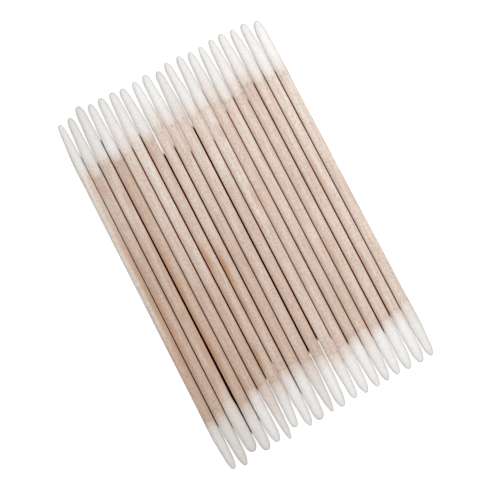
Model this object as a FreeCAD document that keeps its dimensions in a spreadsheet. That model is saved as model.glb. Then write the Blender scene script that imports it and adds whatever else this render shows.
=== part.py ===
import FreeCAD, Part
import math
import os
import Sketcher

# A set of nineteen double-ended cotton swabs with pointed tips, laid side by side on a flat surface.
#
# A swab is three pieces. The stick is a turned birch dowel, sharpened at both ends to a small blunt
# point. A cotton bud is wound on each point: it starts as a thin film on the full dowel, swells to
# a belly, narrows along a straight flank, turns over a rounded shoulder and closes in a round tip a
# little beyond the wood. The cotton is glued to the wood, so the bud's cavity is the stick's own
# surface, face to face.
#
# Frame, in millimetres: the swabs lie along Y and are numbered from 1 to 19 towards +X. Z is up, and
# the surface they lie on is Z = 0. Each swab rests on the bellies of its two buds, so its stick is
# held just clear of the surface and of its neighbours. The far buds point to +Y and the near buds
# to -Y. The origin lies on the surface under the middle swab.

PARTS_FOLDER = "parts"
MIDDLE = 10

# Sizes that every swab shares.
COMMON = {
    "stick_diameter": 2.24,
    "stick_length": 72.2,
    "point_length": 7.2,
    "point_radius": 0.35,
    "film": 0.02,
    "belly_station": 30.0,
}

# How a bud is wound.
# tip_radius: the radius of its round tip.
# shoulder: how far from the tip the rounded shoulder runs into the straight flank.
# inset: how much closer to the axis the flank ends there than at the belly.
# cover: how thick the cotton is over the dowel at the belly.
# belly_share: where the belly is, as a share of the cotton's length from the tip.
FORMS = {
    "slim": {"tip_radius": 0.37, "shoulder": 3.4, "inset": 0.34, "cover": 0.04, "belly_share": 0.74},
    "slender": {"tip_radius": 0.50, "shoulder": 2.8, "inset": 0.30, "cover": 0.03, "belly_share": 0.70},
    "long": {"tip_radius": 0.53, "shoulder": 1.5, "inset": 0.37, "cover": 0.03, "belly_share": 0.70},
    "short": {"tip_radius": 0.69, "shoulder": 1.8, "inset": 0.28, "cover": 0.035, "belly_share": 0.68},
    "plump": {"tip_radius": 0.71, "shoulder": 2.9, "inset": 0.07, "cover": 0.04, "belly_share": 0.64},
    "full": {"tip_radius": 0.56, "shoulder": 2.6, "inset": 0.20, "cover": 0.05, "belly_share": 0.60},
    "pointed": {"tip_radius": 0.35, "shoulder": 1.8, "inset": 0.32, "cover": 0.06, "belly_share": 0.52},
    "blunt": {"tip_radius": 0.88, "shoulder": 1.6, "inset": 0.17, "cover": 0.09, "belly_share": 0.50},
}

# Each swab as it lies, from left to right.
# over: how much thicker its dowel is than the common diameter.
# overhang: how far the cotton goes beyond the wood, at both ends.
# slide: how far the swab is pushed towards +Y.
# Then for the far and the near bud: its form, how far it is wound onto the full dowel (wrap), and
# the room left between it and the bud on its left (gap).
SWABS = (
    # over, overhang, slide, (far form, wrap, gap), (near form, wrap, gap)
    (-0.19, 1.55, -0.57, ("slender", 3.0, 0.00), ("full", 2.1, 0.00)),
    (0.02, 1.93, -0.58, ("long", 3.8, 0.02), ("full", 2.4, 0.11)),
    (0.11, 1.71, 0.90, ("short", 3.8, 0.10), ("blunt", 2.8, 0.02)),
    (0.00, 1.87, 0.07, ("long", 3.9, 0.10), ("blunt", 1.4, 0.32)),
    (0.04, 1.65, 0.38, ("short", 3.3, 0.03), ("plump", 2.8, 0.02)),
    (-0.01, 1.95, 0.04, ("short", 2.9, 0.10), ("slim", 2.8, 0.11)),
    (-0.01, 1.03, 0.72, ("short", 3.5, 0.16), ("short", 1.6, 0.16)),
    (-0.04, 1.63, 0.20, ("long", 1.4, 0.28), ("pointed", 3.6, 0.02)),
    (0.05, 1.70, 0.42, ("short", 2.4, 0.17), ("blunt", 3.7, 0.09)),
    (0.07, 1.25, 0.33, ("long", 2.4, 0.10), ("slim", 2.8, 0.02)),
    (0.00, 1.65, 0.67, ("long", 2.9, 0.21), ("plump", 2.3, 0.26)),
    (0.07, 1.49, 0.85, ("long", 2.9, 0.03), ("long", 1.2, 0.26)),
    (0.03, 1.36, 0.69, ("long", 2.8, 0.02), ("full", 1.9, 0.05)),
    (-0.04, 1.34, 0.70, ("slender", 3.4, 0.03), ("full", 2.7, 0.14)),
    (0.01, 1.46, 0.94, ("slender", 3.8, 0.10), ("pointed", 2.7, 0.02)),
    (0.06, 1.39, 1.08, ("long", 2.7, 0.06), ("full", 2.1, 0.04)),
    (0.01, 1.27, 0.94, ("slender", 3.3, 0.11), ("plump", 2.3, 0.13)),
    (-0.02, 1.25, 0.99, ("short", 3.7, 0.04), ("plump", 2.9, 0.17)),
    (-0.02, 0.82, 0.70, ("plump", 3.6, 0.11), ("pointed", 4.0, 0.04)),
)


def fill_sheet(doc):
    """The spreadsheet of driving dimensions, one named cell for each."""
    sizes = dict(COMMON)
    for form, values in FORMS.items():
        for name, value in values.items():
            sizes[f"{form}_{name}"] = value
    for number, (over, overhang, slide, far, near) in enumerate(SWABS, 1):
        sizes[f"over_{number:02d}"] = over
        sizes[f"overhang_{number:02d}"] = overhang
        sizes[f"slide_{number:02d}"] = slide
        for end, (_, wrap, gap) in (("far", far), ("near", near)):
            sizes[f"{end}_wrap_{number:02d}"] = wrap
            sizes[f"{end}_gap_{number:02d}"] = gap
    sheet = doc.addObject("Spreadsheet::Sheet", "Sizes")
    for row, (name, value) in enumerate(sizes.items(), 1):
        sheet.set(f"A{row}", name)
        sheet.set(f"B{row}", str(value))
        sheet.setAlias(f"B{row}", name)
    doc.recompute()
    return sheet


def new_body(doc, name):
    """An empty body, and a sketch on its XY plane in which X is the radius and Y the swab's length."""
    body = doc.addObject("PartDesign::Body", name)
    body.Label = name
    plane = next(f for f in body.Origin.OriginFeatures if f.Role == "XY_Plane")
    sketch = body.newObject("Sketcher::SketchObject", f"{name}_profile")
    sketch.AttachmentSupport = (plane, [""])
    sketch.MapMode = "FlatFace"
    return body, sketch


def revolve(body, sketch):
    """Turns the profile about the swab's axis."""
    turned = body.newObject("PartDesign::Revolution", f"{body.Name}_turned")
    turned.Profile = sketch
    turned.ReferenceAxis = (sketch, ["V_Axis"])
    turned.Angle = 360
    sketch.Visibility = False


ORIGIN = (-1, 1)
AXIS = -2
START, END, CENTRE = 1, 2, 3


def close_loop(sketch, smooth=()):
    """Joins each edge's end to the next edge's start; after the smooth ones without a corner."""
    count = sketch.GeometryCount
    for edge in range(count):
        joint = "Tangent" if edge in smooth else "Coincident"
        sketch.addConstraint(Sketcher.Constraint(joint, edge, END, (edge + 1) % count, START))


def drive(sketch, name, kind, first, second, formula):
    """A named dimension between two points, or from the origin, driven by the spreadsheet."""
    here = getattr(sketch.getPoint(*second) - sketch.getPoint(*first), "x" if kind == "DistanceX" else "y")
    index = sketch.addConstraint(Sketcher.Constraint(kind, *first, *second, here))
    sketch.renameConstraint(index, name)
    sketch.setExpression(f"Constraints.{name}", formula)


def stick_radius(number):
    return f"(Sizes.stick_diameter + Sizes.over_{number:02d}) / 2"


def make_stick(doc, sheet, number):
    """The birch dowel: half its outline, with a straight taper to a blunt point at each end."""
    body, sketch = new_body(doc, f"stick_{number:02d}")
    radius = (sheet.stick_diameter + sheet.get(f"over_{number:02d}")) / 2
    half = sheet.stick_length / 2
    shoulder = half - sheet.point_length
    blunt = sheet.point_radius
    corners = [
        FreeCAD.Vector(0, -half),
        FreeCAD.Vector(blunt, -half),
        FreeCAD.Vector(radius, -shoulder),
        FreeCAD.Vector(radius, shoulder),
        FreeCAD.Vector(blunt, half),
        FreeCAD.Vector(0, half),
    ]
    near_face, near_taper, shank, far_taper, far_face, core = range(6)
    for start, end in zip(corners, corners[1:] + corners[:1]):
        sketch.addGeometry(Part.LineSegment(start, end), False)
    close_loop(sketch)
    sketch.addConstraint(Sketcher.Constraint("PointOnObject", core, START, AXIS))
    sketch.addConstraint(Sketcher.Constraint("PointOnObject", core, END, AXIS))
    sketch.addConstraint(Sketcher.Constraint("Horizontal", near_face))
    sketch.addConstraint(Sketcher.Constraint("Horizontal", far_face))
    sketch.addConstraint(Sketcher.Constraint("Vertical", shank))
    drive(sketch, "far_half", "DistanceY", ORIGIN, (core, START), "Sizes.stick_length / 2")
    drive(sketch, "near_half", "DistanceY", (core, END), ORIGIN, "Sizes.stick_length / 2")
    drive(sketch, "radius", "DistanceX", ORIGIN, (shank, END), stick_radius(number))
    drive(sketch, "far_blunt", "DistanceX", ORIGIN, (far_face, START), "Sizes.point_radius")
    drive(sketch, "near_blunt", "DistanceX", ORIGIN, (near_face, END), "Sizes.point_radius")
    drive(sketch, "far_point", "DistanceY", (far_taper, START), (far_taper, END), "Sizes.point_length")
    drive(sketch, "near_point", "DistanceY", (near_taper, START), (near_taper, END), "Sizes.point_length")
    revolve(body, sketch)
    return body


def arc(centre, start, end):
    """The shorter arc about a centre, as a sketch draws it: counter-clockwise."""
    radius = (start - centre).Length
    angles = [math.atan2(p.y - centre.y, p.x - centre.x) for p in (start, end)]
    circle = Part.Circle(centre, FreeCAD.Vector(0, 0, 1), radius)
    return Part.ArcOfCircle(circle, *angles)


def make_bud(doc, sheet, number, end, form):
    """The cotton wound on one point: half its section, from the film's edge round the tip to the wood."""
    body, sketch = new_body(doc, f"{end}_bud_{number:02d}")
    dowel = (sheet.stick_diameter + sheet.get(f"over_{number:02d}")) / 2
    belly = dowel + sheet.get(f"{form}_cover")
    tip_radius = sheet.get(f"{form}_tip_radius")
    overhang = sheet.get(f"overhang_{number:02d}")
    cotton = overhang + sheet.point_length + sheet.get(f"{end}_wrap_{number:02d}")
    wood_end = sheet.stick_length / 2
    tip = wood_end + overhang
    edge_y = tip - cotton
    film_edge = FreeCAD.Vector(dowel + sheet.film, edge_y)
    belly_point = FreeCAD.Vector(belly, tip - cotton * sheet.get(f"{form}_belly_share"))
    flank_end = FreeCAD.Vector(belly - sheet.get(f"{form}_inset"), tip - sheet.get(f"{form}_shoulder"))
    tip_centre = FreeCAD.Vector(0, tip - tip_radius)
    tip_point = FreeCAD.Vector(0, tip)

    # The swell is an arc that runs along the swab where it reaches the belly.
    swell = belly_point - film_edge
    swell_radius = (swell.x**2 + swell.y**2) / (2 * swell.x)
    swell_centre = belly_point - FreeCAD.Vector(swell_radius, 0)

    # The shoulder is the arc that leaves the flank without a corner and meets the tip's arc likewise.
    flank = (flank_end - belly_point).normalize()
    inward = FreeCAD.Vector(-flank.y, flank.x)
    from_tip = flank_end - tip_centre
    shoulder_radius = (tip_radius**2 - from_tip.dot(from_tip)) / (2 * (from_tip.dot(inward) + tip_radius))
    shoulder_centre = flank_end + inward * shoulder_radius
    shoulder_end = tip_centre + (tip_centre - shoulder_centre).normalize() * tip_radius
    wood_centre = FreeCAD.Vector(0, wood_end)
    wood_rim = FreeCAD.Vector(sheet.point_radius, wood_end)
    wood_corner = FreeCAD.Vector(dowel, wood_end - sheet.point_length)
    wood_edge = FreeCAD.Vector(dowel, edge_y)

    film_line, swell_arc, flank_line, shoulder_arc, tip_arc = range(5)
    core, wood_face, wood_taper, wood_shank = range(5, 9)
    sketch.addGeometry(
        [
            Part.LineSegment(wood_edge, film_edge),
            arc(swell_centre, film_edge, belly_point),
            Part.LineSegment(belly_point, flank_end),
            arc(shoulder_centre, flank_end, shoulder_end),
            arc(tip_centre, shoulder_end, tip_point),
            Part.LineSegment(tip_point, wood_centre),
            Part.LineSegment(wood_centre, wood_rim),
            Part.LineSegment(wood_rim, wood_corner),
            Part.LineSegment(wood_corner, wood_edge),
        ],
        False,
    )
    close_loop(sketch, smooth=[flank_line, shoulder_arc])
    sketch.addConstraint(Sketcher.Constraint("Horizontal", film_line))
    sketch.addConstraint(Sketcher.Constraint("Horizontal", wood_face))
    sketch.addConstraint(Sketcher.Constraint("Vertical", wood_shank))
    sketch.addConstraint(Sketcher.Constraint("PointOnObject", core, START, AXIS))
    sketch.addConstraint(Sketcher.Constraint("PointOnObject", core, END, AXIS))
    sketch.addConstraint(Sketcher.Constraint("PointOnObject", tip_arc, CENTRE, AXIS))
    sketch.addConstraint(Sketcher.Constraint("Horizontal", swell_arc, CENTRE, swell_arc, END))
    rounding = sketch.addConstraint(Sketcher.Constraint("Radius", tip_arc, tip_radius))
    sketch.renameConstraint(rounding, "tip_radius")
    sketch.setExpression("Constraints.tip_radius", f"Sizes.{form}_tip_radius")

    reach = f"(Sizes.overhang_{number:02d} + Sizes.point_length + Sizes.{end}_wrap_{number:02d})"
    past_wood = f"(Sizes.stick_length / 2 + Sizes.overhang_{number:02d})"
    drive(sketch, "wood_end", "DistanceY", ORIGIN, (core, END), "Sizes.stick_length / 2")
    drive(sketch, "tip", "DistanceY", ORIGIN, (core, START), past_wood)
    drive(sketch, "cotton_length", "DistanceY", (film_line, START), (core, START), reach)
    drive(sketch, "belly_from_tip", "DistanceY", (flank_line, START), (core, START),
          f"{reach} * Sizes.{form}_belly_share")
    drive(sketch, "belly_radius", "DistanceX", ORIGIN, (flank_line, START),
          f"{stick_radius(number)} + Sizes.{form}_cover")
    drive(sketch, "shoulder_from_tip", "DistanceY", (flank_line, END), (core, START),
          f"Sizes.{form}_shoulder")
    drive(sketch, "inset", "DistanceX", (flank_line, END), (flank_line, START), f"Sizes.{form}_inset")
    drive(sketch, "dowel_radius", "DistanceX", ORIGIN, (wood_shank, END), stick_radius(number))
    drive(sketch, "film", "DistanceX", (film_line, START), (film_line, END), "Sizes.film")
    drive(sketch, "wood_blunt", "DistanceX", ORIGIN, (wood_face, END), "Sizes.point_radius")
    drive(sketch, "wood_point", "DistanceY", (wood_taper, END), (wood_taper, START), "Sizes.point_length")
    revolve(body, sketch)
    return body


def spacing(end, left, right):
    """How far apart two neighbours' axes are at one end: their bellies and the gap between them."""
    forms = {number: SWABS[number - 1][3 if end == "far" else 4][0] for number in (left, right)}
    return (
        f"{stick_radius(left)} + Sizes.{forms[left]}_cover"
        f" + {stick_radius(right)} + Sizes.{forms[right]}_cover"
        f" + Sizes.{end}_gap_{right:02d}"
    )


def lay_down(swabs):
    """Sets the swabs side by side, outwards from the middle one, each resting on its two bellies."""
    for number, pieces in swabs.items():
        for end, form in (("far", SWABS[number - 1][3][0]), ("near", SWABS[number - 1][4][0])):
            pieces["stick"].addProperty("App::PropertyFloat", f"{end}_x", "Lie", "Place across the set")
            pieces["stick"].addProperty("App::PropertyFloat", f"{end}_z", "Lie", "Height of the axis")
            pieces["stick"].setExpression(f"{end}_z", f"{stick_radius(number)} + Sizes.{form}_cover")
    for end in ("far", "near"):
        for number in range(MIDDLE + 1, len(SWABS) + 1):
            swabs[number]["stick"].setExpression(
                f"{end}_x", f"stick_{number - 1:02d}.{end}_x + {spacing(end, number - 1, number)}"
            )
        for number in range(MIDDLE - 1, 0, -1):
            swabs[number]["stick"].setExpression(
                f"{end}_x", f"stick_{number + 1:02d}.{end}_x - ({spacing(end, number, number + 1)})"
            )
    for number, pieces in swabs.items():
        stick = f"stick_{number:02d}"
        lean = f"atan(({stick}.near_x - {stick}.far_x) / (2 * Sizes.belly_station))"
        tilt = f"atan(({stick}.far_z - {stick}.near_z) / (2 * Sizes.belly_station))"
        middle = (
            f"vector(({stick}.far_x + {stick}.near_x) / 2; Sizes.slide_{number:02d};"
            f" ({stick}.far_z + {stick}.near_z) / 2)"
        )
        pieces["stick"].setExpression("Placement", f"placement({middle}; rotation({lean}; 0 deg; {tilt}))")
        pieces["far"].setExpression("Placement", f"{stick}.Placement")
        pieces["near"].setExpression(
            "Placement", f"{stick}.Placement * placement(vector(0; 0; 0); rotation(180 deg; 0 deg; 0 deg))"
        )


def check(doc, bodies):
    """Stops with a plain message if any object failed or any piece isn't one sound solid."""
    for thing in doc.Objects:
        if {"Invalid", "Error"} & set(thing.State):
            raise RuntimeError(f"{thing.Name} failed to build: {thing.State}")
    for body in bodies:
        shape = body.Shape
        if shape.isNull() or not shape.isValid() or len(shape.Solids) != 1:
            raise RuntimeError(f"{body.Name} is not one valid solid")


def main():
    doc = FreeCAD.newDocument("CottonSwabs")
    sheet = fill_sheet(doc)
    swabs = {}
    for number, (_, _, _, far, near) in enumerate(SWABS, 1):
        swabs[number] = {
            "stick": make_stick(doc, sheet, number),
            "far": make_bud(doc, sheet, number, "far", far[0]),
            "near": make_bud(doc, sheet, number, "near", near[0]),
        }
    lay_down(swabs)
    doc.recompute()
    bodies = [body for pieces in swabs.values() for body in pieces.values()]
    check(doc, bodies)
    os.makedirs(PARTS_FOLDER, exist_ok=True)
    for body in bodies:
        body.Shape.exportStep(os.path.join(PARTS_FOLDER, f"{body.Label}.step"))
    print(f"{len(bodies)} pieces written to {PARTS_FOLDER}")


main()
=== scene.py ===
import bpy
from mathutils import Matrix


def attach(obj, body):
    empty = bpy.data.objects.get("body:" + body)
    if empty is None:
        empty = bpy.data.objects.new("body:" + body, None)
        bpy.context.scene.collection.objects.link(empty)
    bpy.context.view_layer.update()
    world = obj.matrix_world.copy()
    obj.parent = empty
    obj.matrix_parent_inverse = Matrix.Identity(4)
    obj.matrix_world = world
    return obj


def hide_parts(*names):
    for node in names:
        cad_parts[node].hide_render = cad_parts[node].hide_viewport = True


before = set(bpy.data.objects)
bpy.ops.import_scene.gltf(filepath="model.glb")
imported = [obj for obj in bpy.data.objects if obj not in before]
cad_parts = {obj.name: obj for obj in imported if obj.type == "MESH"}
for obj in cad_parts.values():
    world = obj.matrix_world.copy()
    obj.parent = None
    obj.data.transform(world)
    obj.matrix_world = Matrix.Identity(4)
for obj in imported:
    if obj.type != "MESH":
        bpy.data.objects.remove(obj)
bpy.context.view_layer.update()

import math

import bpy
from mathutils import Euler, Matrix, Vector, noise
from mathutils.bvhtree import BVHTree

# Nineteen cotton swabs on a white table, seen from straight above. Lengths named _MM are in
# millimetres on the real object; Blender's own are in metres.
MM = 0.001
SWABS = range(1, 20)
ENDS = ("near", "far")


# ---- Colour and nodes

def linear(code):
    """An sRGB hex colour such as "#e6d6c7" as the linear colour that a shader takes."""
    channels = [int(code[k:k + 2], 16) / 255 for k in (1, 3, 5)]
    return [c / 12.92 if c <= 0.04045 else ((c + 0.055) / 1.055) ** 2.4 for c in channels] + [1.0]


def node(tree, kind, inputs=(), stops=(), **settings):
    """Adds a node: settings are its properties, stops a ramp's colours, and inputs its values,
    sockets or nodes, by name or number. A node given as an input is joined by its first live output."""
    made = tree.nodes.new(kind)
    for name, value in settings.items():
        setattr(made, name, value)
    for key, value in dict(inputs).items():
        if isinstance(value, bpy.types.Node):
            value = next(output for output in value.outputs if output.enabled)
        if isinstance(value, bpy.types.NodeSocket):
            tree.links.new(value, made.inputs[key])
        else:
            made.inputs[key].default_value = value
    for place, colour in stops:
        elements = made.color_ramp.elements
        element = elements[0] if place == 0 else elements[-1] if place == 1 else elements.new(place)
        element.color = colour
    return made


# Inputs go by number where names repeat. A range's are the value (0), what it comes from (1 and 2) and
# what it goes to (3 and 4, or 0 and 1 where they are left out). A mix's are the share (0) and its two
# colours (6 and 7).
MATHS, RANGE, MIX = "ShaderNodeMath", "ShaderNodeMapRange", "ShaderNodeMix"
NOISE, VECTOR, BUMP = "ShaderNodeTexNoise", "ShaderNodeVectorMath", "ShaderNodeBump"
# A noise keeps mostly between these two heights.
NOISE_LOW, NOISE_HIGH = 0.3, 0.7


def new_material(name):
    material = bpy.data.materials.new(name)
    material.use_nodes = True
    tree = material.node_tree
    return material, tree, tree.nodes["Principled BSDF"]


# How deep the fine relief of the wood and of the cotton is.
RELIEF_MM = 0.03


# ---- Birch

PALE_BIRCH = linear("#eee7e0")
BIRCH = linear("#e4d7cc")
BROWN_BIRCH = linear("#d7c3b3")
STREAK = linear("#d3b8a8")
PALE_STREAK = linear("#2e2924")
FLECK = linear("#cfb4a0")
RESIN = linear("#c39a76")
# The painted shade on each stick's flanks, down towards the slits.
PAINTED_FLANK_SHADE = linear("#f58464")

# How brown each stick's wood is drawn at its near end, its middle and its far end: partly the wood's
# own tone and partly painted shade of the light falling off across the set. 0 is the palest wood, and
# anything past 1 the brownest. Both ends' values are reached this far from the middle.
BROWN_AT_MM = 17.5
BROWN_AND_SHADE = (
    (1.2, 0.2, 0.0), (1.2, 1.2, 0.6), (0.6, 1.1, 0.5), (1.2, 1.2, 1.2),
    (0.9, 0.8, 0.4), (1.2, 0.6, 0.2), (0.8, 0.7, 0.7), (0.8, 0.7, 0.4),
    (1.1, 0.9, 0.5), (0.7, 0.7, 0.4), (0.9, 0.8, 0.3), (0.5, 0.6, 0.1),
    (0.6, 0.8, 0.5), (0.8, 0.5, 0.4), (0.7, 0.5, 0.5), (0.6, 0.6, 0.6),
    (0.5, 0.6, 0.5), (0.5, 0.5, 0.2), (0.4, 0.6, 0.3),
)

# How wide and how long each pattern of the grain is, and how detailed: the growth rings' long streaks,
# the fine veins, the short ray flecks and the cloudy changes of colour.
GRAIN_MM = ((0.45, 9.0, 4), (0.20, 2.5, 3), (0.24, 0.34, 2), (2.4, 11.0, 2))
# How the first three of them colour the wood: between which heights, how strongly and in what way.
GRAIN_COLOURS = (
    (0.42, 0.72, 0.38, "MULTIPLY", STREAK),
    (0.50, 0.72, 0.35, "SCREEN", PALE_STREAK),
    (0.46, 0.72, 0.56, "MULTIPLY", FLECK),
)
# How much browner or paler the clouds make it.
CLOUDINESS = 0.15

# From how high over a stick's axis, and down to where, its flank is painted redder and darker towards
# the slit, as painted shade.
PAINTED_FLANK_MM = (0.55, -0.1)

# Resin stains: which stick, how far along it from the middle, how far from its axis towards +X, how
# long, how far it spreads to either side, and how strong. All lie this high over the axis and reach this
# far up and down. They are full in this share of their size, and their rims are this ragged.
STAIN_HEIGHT_MM, STAIN_DEPTH_MM = 0.9, 1.2
STAIN_CORE, STAIN_RAGGED = 0.15, 0.35
STAINS_MM = (
    (1, 0.0, 0.6, 60.0, 0.8, 0.75),
    (2, -7.0, -0.6, 42.0, 0.8, 0.60),
    (2, 22.0, 0.0, 6.0, 1.2, 0.40),
    (3, -15.0, 0.5, 20.0, 0.8, 0.50),
    (3, -21.5, -0.6, 9.0, 0.7, 0.60),
    (3, -7.0, 0.1, 3.5, 0.9, 0.60),
    (3, 18.0, 0.6, 8.0, 0.7, 0.40),
    (4, -16.0, -0.7, 20.0, 0.8, 0.90),
    (4, 0.0, -0.7, 24.0, 0.7, 0.70),
    (5, -25.0, -0.6, 10.0, 0.7, 0.45),
    (7, -20.5, -0.7, 8.0, 0.9, 0.90),
    (7, -10.0, -0.6, 16.0, 0.7, 0.50),
    (7, 0.5, -0.6, 9.0, 0.9, 0.85),
    (7, 23.0, -0.6, 5.0, 0.7, 0.40),
    (8, -3.0, -0.7, 13.0, 0.9, 1.00),
    (8, -10.0, -0.7, 10.0, 0.7, 0.60),
    (12, 21.5, 0.4, 6.0, 0.9, 0.45),
    (12, 7.0, 0.6, 7.0, 0.7, 0.50),
    (13, 10.0, 0.6, 7.0, 0.7, 0.40),
    (16, -10.0, -0.6, 12.0, 0.7, 0.45),
    (18, 5.0, -0.7, 14.0, 0.6, 0.40),
    (18, -14.0, -0.6, 8.0, 0.6, 0.40),
)


def grain_of(tree, number, lean, centre):
    """The look of one stick's wood: its colour, the height of its grain, and the long streaks in it."""
    place = node(tree, "ShaderNodeTexCoord").outputs["Object"]
    along = node(tree, "ShaderNodeMapping", {
        "Vector": place, "Location": (number * 0.37, number * 0.11, 0), "Rotation": (0, 0, -lean)})

    patterns = []
    for width, length, detail in GRAIN_MM:
        stretch = (1 / (width * MM), 1 / (length * MM), 1 / (width * MM))
        where = node(tree, VECTOR, {0: along, 1: stretch}, operation="MULTIPLY")
        patterns.append(node(tree, NOISE, {"Vector": where, "Scale": 1.0, "Detail": detail}))
    streaks, veins, flecks, clouds = patterns
    at = node(tree, "ShaderNodeSeparateXYZ", {0: place}).outputs
    # Part of the browning along each stick is painted shade of the light falling off across the set.
    near, middle, far = BROWN_AND_SHADE[number - 1]
    brown_and_shade = node(tree, RANGE, {
        0: clouds, 1: NOISE_LOW, 2: NOISE_HIGH, 3: -CLOUDINESS, 4: CLOUDINESS}, clamp=True)
    for tail, share in ((near, -1), (far, 1)):
        more = node(tree, RANGE, {0: at["Y"], 2: share * BROWN_AT_MM * MM, 4: tail - middle}, clamp=True)
        brown_and_shade = node(tree, MATHS, {0: brown_and_shade, 1: more}, operation="ADD")
    tone = node(tree, MATHS, {0: brown_and_shade, 1: middle}, operation="ADD", use_clamp=True)
    wood = node(tree, "ShaderNodeValToRGB", {0: tone}, stops=(
        (0.0, PALE_BIRCH), (0.5, BIRCH), (1.0, BROWN_BIRCH)))
    for pattern, (low, high, strength, way, colour) in zip((streaks, veins, flecks), GRAIN_COLOURS):
        amount = node(tree, RANGE, {0: pattern, 1: low, 2: high, 3: 0.0, 4: strength}, clamp=True)
        wood = node(tree, MIX, {0: amount, 6: wood, 7: colour}, data_type="RGBA", blend_type=way)
    for stained, along_mm, aside_mm, length, spread, strength in STAINS_MM:
        if stained != number:
            continue
        core = (centre.x + aside_mm * MM, along_mm * MM, centre.z + STAIN_HEIGHT_MM * MM)
        away = node(tree, VECTOR, {0: place, 1: core}, operation="SUBTRACT")
        size = (1 / (spread * MM), 2 / (length * MM), 1 / (STAIN_DEPTH_MM * MM))
        away = node(tree, VECTOR, {0: away, 1: size}, operation="MULTIPLY")
        away = node(tree, VECTOR, {0: away}, operation="LENGTH")
        uneven = node(tree, RANGE, {
            0: streaks, 1: NOISE_LOW, 2: NOISE_HIGH, 3: -STAIN_RAGGED, 4: STAIN_RAGGED}, clamp=True)
        away = node(tree, MATHS, {0: away, 1: uneven}, operation="ADD")
        amount = node(tree, RANGE, {0: away, 1: STAIN_CORE, 2: 1.0, 3: strength, 4: 0.0}, clamp=True)
        wood = node(tree, MIX, {0: amount, 6: wood, 7: RESIN}, data_type="RGBA")
    # Painted shade: the flanks that face the neighbours are drawn redder and darker down towards the
    # slits.
    if number not in (SWABS[0], SWABS[-1]):
        high, low = (centre.z + z * MM for z in PAINTED_FLANK_MM)
        painted_flank_shade = node(tree, RANGE, {0: at["Z"], 1: high, 2: low}, clamp=True)
        wood = node(tree, MIX, {0: painted_flank_shade, 6: wood, 7: PAINTED_FLANK_SHADE}, data_type="RGBA", blend_type="MULTIPLY")
    fine = node(tree, MATHS, {0: flecks, 1: 0.5}, operation="MULTIPLY")
    height = node(tree, MATHS, {0: streaks, 1: fine}, operation="ADD")
    return wood, height, streaks


def birch(number, lean, centre):
    """Turned and unvarnished birch: pale and pinkish, with faint long streaks of the grain, short ray
    flecks, and resin that has bled into a few places. It is matt, most of all on the streaks, and lets
    a little light through, so it glows warmly; down in the slits it is also painted redder and darker,
    as painted shade."""
    material, tree, surface = new_material(f"turned_birch_{number:02d}")
    wood, height, streaks = grain_of(tree, number, lean, centre)
    tree.links.new(wood.outputs[2], surface.inputs["Base Color"])
    rough = node(tree, RANGE, {0: streaks, 1: NOISE_LOW, 2: NOISE_HIGH, 3: 0.65, 4: 0.8}, clamp=True)
    tree.links.new(rough.outputs[0], surface.inputs["Roughness"])
    bump = node(tree, BUMP, {"Strength": 0.5, "Distance": RELIEF_MM * MM, "Height": height})
    tree.links.new(bump.outputs[0], surface.inputs["Normal"])
    surface.inputs["Specular IOR Level"].default_value = 0.2
    surface.subsurface_method = "BURLEY"
    surface.inputs["Diffuse Roughness"].default_value = 1.0
    surface.inputs["Subsurface Weight"].default_value = 0.4
    surface.inputs["Subsurface Radius"].default_value = (1.0, 0.45, 0.28)
    surface.inputs["Subsurface Scale"].default_value = 0.9 * MM
    return material


# ---- Cotton

COTTON = linear("#fbfbfa")
COTTON_SHADE = linear("#eeedeb")
# The painted shade on the cotton's flanks.
PAINTED_FLANK_GREY = linear("#d4d2d4")
# The cream tint, which also serves as painted shade.
CREAMY_SHADE = linear("#d6cdc4")

# How unevenly the fine web and the broader tufts, this wide, hide the wood.
WEB_UNEVEN, TUFTS_UNEVEN, TUFT_MM = 0.05, 0.07, 0.7

# How creamy each swab's cotton is drawn at its near and far end, from 0 for the whitest: partly the
# cotton's own tone and partly painted shade of the light falling off across the set.
CREAM_AND_SHADE = (
    (0.5, 0.3), (0.6, 0.4), (0.6, 0.4), (0.5, 0.3), (0.3, 0.3),
    (0.5, 0.3), (0.3, 0.3), (0.3, 0.2), (0.3, 0.2), (0.5, 0.4),
    (0.2, 0.3), (0.2, 0.3), (0.2, 0.3), (0.2, 0.3), (0.3, 0.3),
    (0.2, 0.3), (0.2, 0.3), (0.2, 0.3), (0.3, 0.2),
)


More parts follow.
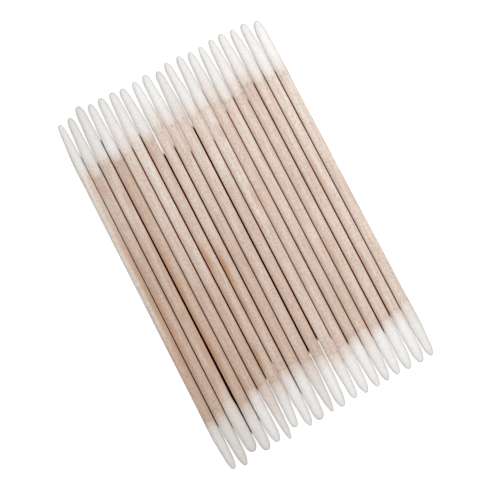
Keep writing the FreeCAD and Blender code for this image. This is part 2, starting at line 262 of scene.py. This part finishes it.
def cotton(number, lean, centre):
    """Bleached cotton wound on in a thin web of fibres: soft, matt and white, with fine lines where
    the web goes round. It is painted greyer on its flanks, where it turns sideways and down, as painted
    shade. The stick's own wood shows through where it is thinnest, so each swab has its own."""
    material, tree, surface = new_material(f"wound_cotton_{number:02d}")
    wood, _, _ = grain_of(tree, number, lean, centre)
    coordinates = node(tree, "ShaderNodeTexCoord").outputs
    place = coordinates["Object"]
    wound = node(tree, "ShaderNodeAttribute", attribute_name="wound").outputs["Vector"]
    cover = node(tree, "ShaderNodeAttribute", attribute_name="cover").outputs["Fac"]
    web = node(tree, NOISE, {"Vector": wound, "Scale": 1.0, "Detail": 5, "Roughness": 0.6})
    tufts = node(tree, NOISE, {"Vector": place, "Scale": 1 / (TUFT_MM * MM), "Detail": 3})
    for pattern, amount in ((web, WEB_UNEVEN), (tufts, TUFTS_UNEVEN)):
        uneven = node(tree, RANGE, {
            0: pattern, 1: NOISE_LOW, 2: NOISE_HIGH, 3: -amount, 4: amount}, clamp=True)
        cover = node(tree, MATHS, {0: cover, 1: uneven}, operation="ADD")
    shade = node(tree, RANGE, {0: web, 1: 0.36, 2: 0.66}, clamp=True)
    white = node(tree, MIX, {0: shade, 6: COTTON_SHADE, 7: COTTON}, data_type="RGBA")
    at = node(tree, "ShaderNodeSeparateXYZ", {0: place}).outputs
    # Partly painted shade: the cotton is darkened towards cream along each swab.
    near, far = CREAM_AND_SHADE[number - 1]
    cream_and_shade = node(tree, RANGE, {
        0: at["Y"], 1: -BROWN_AT_MM * MM, 2: BROWN_AT_MM * MM, 3: near, 4: far}, clamp=True)
    white = node(tree, MIX, {0: cream_and_shade, 6: white, 7: CREAMY_SHADE}, data_type="RGBA", blend_type="MULTIPLY")
    thick = node(tree, RANGE, {0: cover, 1: 0.03, 2: 0.97}, clamp=True)
    colour = node(tree, MIX, {0: thick, 6: wood, 7: white}, data_type="RGBA")
    # Painted shade: the cotton is drawn greyer where its surface turns sideways and down.
    slope = node(tree, "ShaderNodeSeparateXYZ", {0: coordinates["Normal"]}).outputs["Z"]
    painted_flank_shade = node(tree, RANGE, {0: slope, 1: 0.55, 2: 0.0}, clamp=True)
    colour = node(tree, MIX, {0: painted_flank_shade, 6: colour, 7: PAINTED_FLANK_GREY}, data_type="RGBA", blend_type="MULTIPLY")
    tree.links.new(colour.outputs[2], surface.inputs["Base Color"])
    fine = node(tree, MATHS, {0: tufts, 1: 0.5}, operation="MULTIPLY")
    height = node(tree, MATHS, {0: web, 1: fine}, operation="ADD")
    bump = node(tree, BUMP, {"Strength": 0.25, "Distance": RELIEF_MM * MM, "Height": height})
    tree.links.new(bump.outputs[0], surface.inputs["Normal"])
    surface.inputs["Roughness"].default_value = 0.95
    surface.inputs["Specular IOR Level"].default_value = 0.1
    surface.inputs["Sheen Weight"].default_value = 0.15
    surface.inputs["Sheen Roughness"].default_value = 0.6
    return material


# ---- How each swab lies

ON_FACE_MM = 0.01


def end_centres(stick):
    """The centres of a stick's near and far blunt faces."""
    points = [v.co for v in stick.data.vertices]
    centres = []
    for outermost in (min, max):
        y = outermost(p.y for p in points)
        rim = [p for p in points if abs(p.y - y) < ON_FACE_MM * MM]
        centres.append(sum(rim, Vector()) / len(rim))
    return centres


def facing(near, far, end):
    """The place of a swab seen from its middle: local Z towards the tip of one end, Y up."""
    out = (far - near).normalized() * (1 if end == "far" else -1)
    side = Vector((0, 0, 1)).cross(out).normalized()
    turned = Matrix((side, out.cross(side), out)).transposed()
    return Matrix.Translation((near + far) / 2) @ turned.to_4x4()


def solid_of(name, place):
    """A CAD piece as something to measure, in a swab's own axes, with its lowest and highest Z."""
    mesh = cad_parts[name].data
    points = [place.inverted() @ v.co for v in mesh.vertices]
    tree = BVHTree.FromPolygons(points, [p.vertices[:] for p in mesh.polygons])
    heights = [p.z for p in points]
    return tree, min(heights), max(heights)


def radius_at(solid, z, missing=0.0):
    """A piece's outer radius at a height on its axis."""
    outside = 5 * MM
    hit = solid.ray_cast(Vector((outside, 0, z)), Vector((-1, 0, 0)), outside)
    return missing if hit[3] is None else outside - hit[3]


# ---- The cotton buds

SEGMENTS = 56
OUTER_RINGS = 92
INNER_RINGS = 4
RINGS = OUTER_RINGS + INNER_RINGS
# The outer rings lie closer together towards the tip, and the last keeps just inside the edge.
RING_SPREAD, EDGE_SHARE = 1.5, 0.9995

# How far the edge on the wood is ragged, broadly and finely, and how many outer rings move with it.
RAGGED_MM, FINE_RAGGED_MM, RAGGED_RINGS = 0.5, 0.2, 40

# How far apart the turns of the wound web lie, its fine ones, and its fibres in the colour; how far
# they slant round the bud; how long the lumps are; and how high the turns and the lumps stand.
WEB_MM, FINE_WEB_MM, FIBRE_MM, SLANT_MM, LUMP_MM = 0.30, 0.13, 0.16, 0.3, 1.9
WEB_HIGH_MM, LUMP_HIGH_MM = 0.004, 0.025
# Cotton this thick, on a bud this wide, has the full relief. The last is the thinnest it may be.
THICK_MM, WIDE_MM, FILM_MM = 0.10, 0.5, 0.012

# Where the stick is this much thinner than its dowel, its point begins, looked for in such steps. Its
# blunt end is measured this far below the end face.
TAPERED_MM, STEP_MM, STEPS = 0.02, 0.1, 200
BELOW_MM = 0.02

# How the tip of each bud is bent to one side by its winding, towards +X, near and far.
TIP_LEAN_MM = {
    1: (0.18, 0.11), 2: (0.21, 0.20), 3: (0.29, 0.20), 4: (0.03, 0.07), 5: (0.16, 0.05),
    6: (0.11, 0.11), 7: (-0.38, -0.19), 8: (0.04, -0.10), 9: (-0.11, -0.15), 10: (0.15, 0.01),
    11: (-0.18, -0.29), 12: (0.05, 0.04), 13: (0.06, 0.02), 14: (0.13, 0.02), 15: (0.01, 0.01),
    16: (-0.10, -0.15), 17: (-0.16, -0.20), 18: (0.03, -0.10), 19: (0.02, 0.05),
}
# Cotton that bulges to its left or right, or is pressed in there, along its belly: -X side, +X side.
SIDES_MM = {
    "near": {
        3: (0.0, 0.13), 5: (0.0, -0.05), 6: (-0.06, -0.03), 7: (-0.03, 0.0), 11: (0.0, -0.05),
        12: (-0.05, 0.0),
    },
    "far": {
        2: (0.0, -0.03), 3: (-0.03, 0.0), 4: (0.0, -0.03), 5: (-0.03, 0.0), 9: (0.0, -0.05),
        10: (-0.05, 0.0), 11: (0.0, -0.04), 12: (-0.04, 0.0), 13: (0.0, -0.03), 14: (-0.03, 0.0),
    },
}
# How the cotton thins out over the wood, at bud 1 to 19 of each end: how far from its edge it hides a
# fifth of the wood, then somewhat under half, seven tenths and nearly nine tenths.
HIDDEN_MM = {
    "near": (
        (0.5, 1.1, 1.8, 3.6), (0.5, 1.3, 2.0, 3.0), (0.5, 1.2, 2.3, 3.7), (0.5, 1.1, 2.7, 3.3),
        (0.5, 1.2, 2.1, 4.1), (0.5, 1.4, 5.0, 6.6), (0.5, 1.3, 3.1, 4.9), (0.5, 1.2, 2.6, 3.8),
        (0.5, 1.9, 2.8, 3.7), (0.5, 1.3, 3.0, 6.1), (0.5, 1.2, 2.6, 3.4), (0.5, 1.7, 2.7, 4.5),
        (0.5, 1.4, 2.7, 3.4), (0.5, 1.1, 1.8, 3.0), (0.5, 2.0, 3.3, 4.3), (0.5, 1.0, 1.6, 2.4),
        (0.5, 1.1, 1.7, 3.0), (0.5, 1.2, 2.1, 2.7), (0.5, 1.7, 4.2, 5.3),
    ),
    "far": (
        (0.6, 1.2, 2.1, 5.2), (0.8, 2.1, 3.3, 4.5), (0.9, 1.2, 1.6, 3.7), (0.7, 1.2, 2.1, 2.9),
        (0.8, 1.8, 3.2, 4.1), (0.9, 2.0, 3.1, 4.1), (0.5, 1.1, 1.8, 3.6), (0.5, 1.7, 3.4, 4.8),
        (0.5, 1.1, 3.3, 4.5), (0.5, 1.6, 3.5, 4.8), (0.5, 1.1, 1.9, 2.8), (0.5, 1.2, 2.3, 5.1),
        (0.5, 2.0, 3.6, 7.0), (0.5, 1.2, 2.8, 4.2), (0.5, 2.4, 3.5, 4.5), (0.5, 2.0, 2.9, 4.7),
        (0.5, 1.3, 2.7, 5.0), (0.6, 1.2, 2.0, 3.2), (0.6, 1.2, 2.4, 3.9),
    ),
}
HIDDEN_SHARES = (0.20, 0.44, 0.70, 0.87)
# How much farther on it hides all of it.
HIDDEN_LAST_MM = 1.5


def smooth(x):
    """A step from 0 to 1 with soft ends."""
    x = min(1.0, max(0.0, x))
    return x * x * (3 - 2 * x)


def between(points, x):
    """The height at x of a line drawn through the points."""
    for (x0, y0), (x1, y1) in zip(points, points[1:]):
        if x < x1:
            return y0 + (y1 - y0) * max(0.0, x - x0) / (x1 - x0)
    return points[-1][1]


def bud_blank():
    """A ball to be drawn out into a bud: its rings from the pole at the tip run down the outside of
    the cotton, and the last few turn in to line the hollow that the stick fills."""
    bpy.ops.object.select_all(action="DESELECT")
    bpy.ops.mesh.primitive_uv_sphere_add(segments=SEGMENTS, ring_count=RINGS + 1, radius=1.0)
    bpy.ops.object.shade_smooth()
    blank = bpy.context.object
    blank.name = "bud_blank"
    return blank


def wind_bud(blank, number, end, place):
    """Draws a copy of the blank out to one bud, winds the cotton's relief on it, and notes at each
    point how much cotton covers the wood ("cover") and where it lies in the winding ("wound")."""
    cotton_solid, edge_z, tip_z = solid_of(f"{end}_bud_{number:02d}", place)
    wood_solid, _, wood_z = solid_of(f"stick_{number:02d}", place)
    length = tip_z - edge_z
    seed = number * 7.3 + (3.1 if end == "far" else 0.0)
    lean = TIP_LEAN_MM[number][ENDS.index(end)] * MM * (1 if end == "near" else -1)
    left, right = SIDES_MM[end].get(number, (0.0, 0.0))
    fade = [(0.0, 0.0), *zip((d * MM for d in HIDDEN_MM[end][number - 1]), HIDDEN_SHARES)]
    fade.append((fade[-1][0] + HIDDEN_LAST_MM * MM, 1.0))
    dowel = radius_at(wood_solid, 0.0)
    blunt = radius_at(wood_solid, wood_z - BELOW_MM * MM)
    steps = (edge_z + k * STEP_MM * MM for k in range(STEPS))
    shoulder_z = next(z for z in steps if radius_at(wood_solid, z) < dowel - TAPERED_MM * MM)
    inner = ((dowel, edge_z), (dowel, shoulder_z), (blunt, wood_z), (blunt * 0.5, wood_z))
    outer = []
    for ring in range(1, OUTER_RINGS + 1):
        z = tip_z - length * (ring / OUTER_RINGS) ** RING_SPREAD * EDGE_SHARE
        outer.append((radius_at(cotton_solid, z, dowel), z))

    bud = blank.copy()
    bud.data = blank.data.copy()
    bud.name = f"cotton_{end}_{number:02d}"
    bpy.context.collection.objects.link(bud)
    mesh = bud.data
    covers, wounds = [], []
    for vertex in mesh.vertices:
        ring = round(math.acos(max(-1.0, min(1.0, vertex.co.z))) / math.pi * (RINGS + 1))
        turn = math.atan2(vertex.co.y, vertex.co.x)
        across = Vector((math.cos(turn), math.sin(turn), 0))
        if ring == 0:
            r, z = 0.0, tip_z
        elif ring <= OUTER_RINGS:
            r, z = outer[ring - 1]
        elif ring <= RINGS:
            r, z = inner[ring - OUTER_RINGS - 1]
        else:
            r, z = 0.0, wood_z
        from_edge = (z - edge_z) / length
        ragged = noise.noise(across * 1.6 + Vector((seed, 0, 9.0))) * RAGGED_MM * MM
        ragged += noise.noise(across * 5.0 + Vector((seed, 0, 4.0))) * FINE_RAGGED_MM * MM
        if OUTER_RINGS - RAGGED_RINGS <= ring <= OUTER_RINGS + 1:
            z += ragged * (1 - smooth(from_edge * 4))
        wood_r = radius_at(wood_solid, z)
        slanted = z + SLANT_MM * MM * math.sin(turn + seed)
        if 0 < ring <= OUTER_RINGS:
            # The relief fades out at the edge on the wood, and a bulge there and towards the tip.
            web = noise.noise(Vector((across.x * 0.9, across.y * 0.9, slanted / (WEB_MM * MM) + seed)))
            web += 0.5 * noise.noise(
                Vector((across.x * 2.2, across.y * 2.2, slanted / (FINE_WEB_MM * MM) - seed)))
            lump = noise.noise(Vector((across.x * 0.8, across.y * 0.8, z / (LUMP_MM * MM) + seed * 2)))
            room = smooth((r - wood_r) / (THICK_MM * MM)) * smooth(r / (WIDE_MM * MM))
            relief = (WEB_HIGH_MM * web + LUMP_HIGH_MM * (lump - 0.4)) * MM
            r += relief * (0.25 + 0.75 * room) * smooth(from_edge * 12)
            side = across.x if end == "near" else -across.x
            belly = smooth(from_edge * 5) * smooth((1 - from_edge) * 2.5)
            r += (right if side > 0 else left) * MM * abs(side) * belly
            r = max(r, wood_r + FILM_MM * MM)
        bend = lean * smooth((z - shoulder_z) / (tip_z - shoulder_z)) if ring <= OUTER_RINGS else 0.0
        vertex.co = place @ Vector((r * across.x + bend, r * across.y, z))
        covers.append(between(fade, z - edge_z - ragged * 0.5))
        wounds.append((across.x * 1.1, across.y * 1.1, slanted / (FIBRE_MM * MM) + seed))
    mesh.attributes.new("cover", "FLOAT", "POINT").data.foreach_set("value", covers)
    wound = mesh.attributes.new("wound", "FLOAT_VECTOR", "POINT")
    wound.data.foreach_set("vector", [c for w in wounds for c in w])
    mesh.update()
    return bud


# ---- The set

def finish_set():
    """Gives each stick its birch, and puts two wound buds in the place of its plain ones."""
    blank = bud_blank()
    for number in SWABS:
        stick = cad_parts[f"stick_{number:02d}"]
        near, far = end_centres(stick)
        direction = far - near
        lean = math.atan2(-direction.x, direction.y)
        middle = (near + far) / 2
        stick.data.materials.clear()
        stick.data.materials.append(birch(number, lean, middle))
        wound_cotton = cotton(number, lean, middle)
        for end in ENDS:
            bud = wind_bud(blank, number, end, facing(near, far, end))
            bud.data.materials.append(wound_cotton)
            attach(bud, "root")
            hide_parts(f"{end}_bud_{number:02d}")
    bpy.data.objects.remove(blank)


# ---- Table, light and camera

# How far the picture is turned, so that the swabs lean to the left in it.
TURN = math.radians(27.225)

# Between each pair of neighbours, at the near and at the far end: how far the table under the slit is
# painted dark as shade, and from where the table shows white in it.
DARK_TO_MM = {
    "near": (-29.2, -30.6, -33.2, -32.1, -26.5, -25.3, -22.7, -30.8, -25.8,
             -24.5, -23.0, -23.5, -26.0, -28.0, -27.5, -27.8, -25.5, -25.2),
    "far": (29.3, 26.7, 30.4, 27.2, 26.5, 27.9, 22.5, 22.9, 20.4,
            24.6, 20.5, 22.4, 24.3, 26.2, 24.4, 26.9, 28.0, 26.8),
}
WHITE_FROM_MM = {
    "near": (-32.0, -36.5, -35.5, -36.5, -28.1, -31.3, -32.5, -32.3, -30.4,
             -31.9, -28.5, -28.9, -29.5, -30.5, -32.0, -29.6, -30.6, -26.9),
    "far": (30.4, 30.4, 33.7, 28.7, 29.4, 32.0, 23.8, 32.1, 24.8,
            29.9, 24.3, 27.2, 25.1, 27.3, 28.4, 28.7, 30.8, 31.2),
}
# Where the first and the last slit are, and how far the curves through the places above reach.
FIRST_GAP_MM, LAST_GAP_MM = -20.95, 20.70
REACH_MM = 40.0
# Past the outermost swabs the shade ends: the X where the table is open, and where the shade is full.
OPEN_MM = ((-22.4, -21.6), (22.3, 21.7))

TABLE_WHITE = linear("#b0b0b0")
# The colour painted on the table under the slits, as their shade.
SLIT_SHADE = linear("#4a1008")
# How much the camera's view of the table is brought up to white, how strong the painted shade is where
# the slit is dark and where it only dims, and how softly the dark ends.
LIFT = 0.93
DEEP, DIM = 0.76, 0.24
SOFT_MM = 0.8


def table():
    """A plain white table, matt all over. What is seen of it is brought up to white and keeps only a
    faint shadow, except under the slits between the sticks, where it is painted dark red-brown as
    painted shade, standing for their deep shade. The painted shade follows the two tables above, drawn
    as curves from the first slit to the last."""
    bpy.ops.object.select_all(action="DESELECT")
    bpy.ops.mesh.primitive_plane_add(size=1.6, location=(0, 0, 0))
    top = bpy.context.object
    top.name = "white_table"
    material, tree, surface = new_material("white_table_top")
    place = node(tree, "ShaderNodeTexCoord").outputs["Object"]
    at = node(tree, "ShaderNodeSeparateXYZ", {0: place}).outputs
    across = node(tree, RANGE, {0: at["X"], 1: FIRST_GAP_MM * MM, 2: LAST_GAP_MM * MM}, clamp=True)
    along = node(tree, RANGE, {0: at["Y"], 1: -REACH_MM * MM, 2: REACH_MM * MM}, clamp=True)
    limits = {}
    for name, table_mm in (("dark", DARK_TO_MM), ("white", WHITE_FROM_MM)):
        for end in ENDS:
            limit = node(tree, "ShaderNodeFloatCurve", {"Value": across})
            curve = limit.mapping.curves[0]
            last = len(table_mm[end]) - 1
            for gap, y in enumerate(table_mm[end]):
                spot = (gap / last, (y + REACH_MM) / (2 * REACH_MM))
                if gap in (0, last):
                    curve.points[0 if gap == 0 else -1].location = spot
                else:
                    curve.points.new(*spot)
            limit.mapping.update()
            limits[name, end] = limit
    shade = 1.0
    soft = SOFT_MM / (2 * REACH_MM)
    for end, sign in (("near", 1), ("far", -1)):
        inside = node(tree, MATHS, {0: along, 1: limits["dark", end]}, operation="SUBTRACT")
        deep = node(tree, RANGE, {0: inside, 1: -soft * sign, 2: 0.0, 4: DEEP}, clamp=True)
        dim = node(tree, RANGE, {
            0: along, 1: limits["white", end], 2: limits["dark", end], 4: DIM}, clamp=True)
        closed = node(tree, MATHS, {0: deep, 1: dim}, operation="ADD")
        shade = node(tree, MATHS, {0: shade, 1: closed}, operation="MULTIPLY")
    for open_x, shaded_x in OPEN_MM:
        inside = node(tree, RANGE, {0: at["X"], 1: open_x * MM, 2: shaded_x * MM}, clamp=True)
        shade = node(tree, MATHS, {0: shade, 1: inside}, operation="MULTIPLY")
    colour = node(tree, MIX, {0: shade, 6: TABLE_WHITE, 7: SLIT_SHADE}, data_type="RGBA")
    tree.links.new(colour.outputs[2], surface.inputs["Base Color"])
    seen = node(tree, "ShaderNodeLightPath").outputs
    rays = node(tree, MATHS, {0: seen["Is Camera Ray"], 1: seen["Is Glossy Ray"]}, operation="ADD")
    rays = node(tree, MATHS, {0: rays, 1: seen["Is Transmission Ray"]}, operation="ADD", use_clamp=True)
    lift = node(tree, RANGE, {0: shade, 1: 0.0, 2: 1.0, 3: LIFT, 4: 0.0}, clamp=True)
    lift = node(tree, MATHS, {0: lift, 1: rays}, operation="MULTIPLY")
    tree.links.new(lift.outputs[0], surface.inputs["Emission Strength"])
    surface.inputs["Emission Color"].default_value = (1, 1, 1, 1)
    surface.inputs["Roughness"].default_value = 0.9
    surface.inputs["Specular IOR Level"].default_value = 0.0
    top.data.materials.append(material)


ROOM_LIGHT = 0.38
# Each lamp's size across, its power, and how far it stands from the middle, towards the upper right of
# the picture and upwards, in metres.
LAMPS = (("soft_lamp", 0.12, 0.175, 0.09, 0.14), ("fill_lamp", 0.30, 1.18, -0.45, 0.45))


def lamps():
    """Soft studio light: a bright room, a small soft lamp near the swabs over the upper right of the
    picture, and a wide one farther off over the lower left."""
    world = bpy.data.worlds.new("studio")
    world.use_nodes = True
    world.node_tree.nodes["Background"].inputs["Color"].default_value = (1, 1, 1, 1)
    world.node_tree.nodes["Background"].inputs["Strength"].default_value = ROOM_LIGHT
    bpy.context.scene.world = world
    side = Vector((math.cos(TURN) + math.sin(TURN), math.cos(TURN) - math.sin(TURN), 0)).normalized()
    for name, size, power, away, height in LAMPS:
        lamp = bpy.data.lights.new(name, "AREA")
        lamp.shape = "DISK"
        lamp.size = size
        lamp.energy = power
        held = bpy.data.objects.new(name, lamp)
        held.location = side * away + Vector((0, 0, height))
        held.rotation_euler = (-held.location).to_track_quat("-Z", "Y").to_euler()
        bpy.context.collection.objects.link(held)


# How wide the picture is on the swabs, where its middle lies from theirs, to its right and up, and how
# high over the table the sticks' axes are.
PICTURE_MM = 95.98
MIDDLE_MM = (0.12, -0.57)
AXES_MM = 1.1


def camera():
    """A long lens straight above, turned so that the swabs lean as in the picture."""
    eye = bpy.data.cameras.new("camera")
    eye.lens = 150
    eye.sensor_width = 36
    eye.clip_start = 0.01
    held = bpy.data.objects.new("camera", eye)
    distance = PICTURE_MM * MM * eye.lens / eye.sensor_width
    right = Vector((math.cos(TURN), -math.sin(TURN), 0)) * (MIDDLE_MM[0] * MM)
    up = Vector((math.sin(TURN), math.cos(TURN), 0)) * (MIDDLE_MM[1] * MM)
    held.location = right + up + Vector((0, 0, distance + AXES_MM * MM))
    held.rotation_euler = Euler((0, 0, -TURN))
    bpy.context.collection.objects.link(held)
    bpy.context.scene.camera = held


bpy.context.scene.view_settings.view_transform = "Standard"
camera()
lamps()
table()
finish_set()
